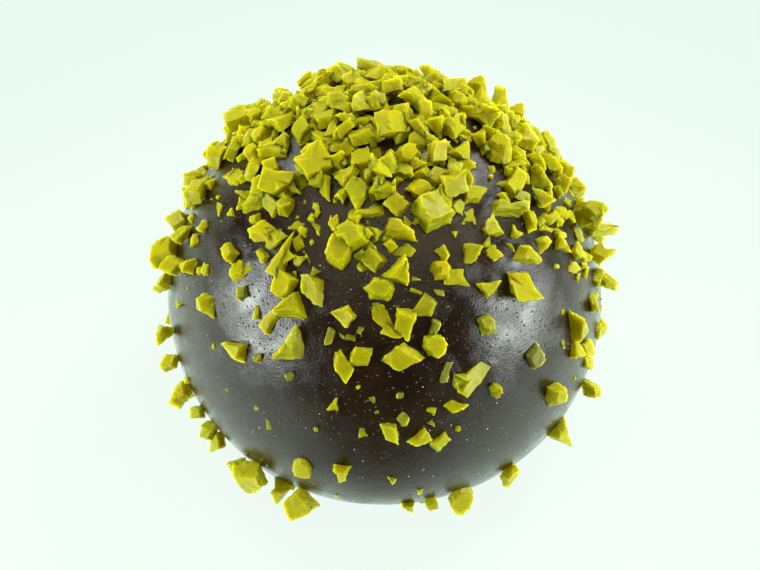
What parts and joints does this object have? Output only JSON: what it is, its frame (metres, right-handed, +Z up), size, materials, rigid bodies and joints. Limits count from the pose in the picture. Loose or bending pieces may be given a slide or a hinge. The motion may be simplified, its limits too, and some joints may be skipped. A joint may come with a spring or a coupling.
{
  "type": "chocolate praline",
  "caption": "Domed chocolate praline with a glossy dark coat and a flat foot, topped with broken yellow sugar chips that are thick on the crown and sparse down the side.",
  "frame": {"origin": "middle of the flat foot that the praline stands on", "axes": "+Z up through the tip of the dome, -Y towards the front, where the lower side is nearly bare of chips"},
  "size_m": [0.0315, 0.0317, 0.0256],
  "materials": {
    "dark_chocolate": "gloss",
    "sugar_chips": "satin"
  },
  "bodies": {
    "root": {"praline": "dark_chocolate"}
  },
  "joints": []
}
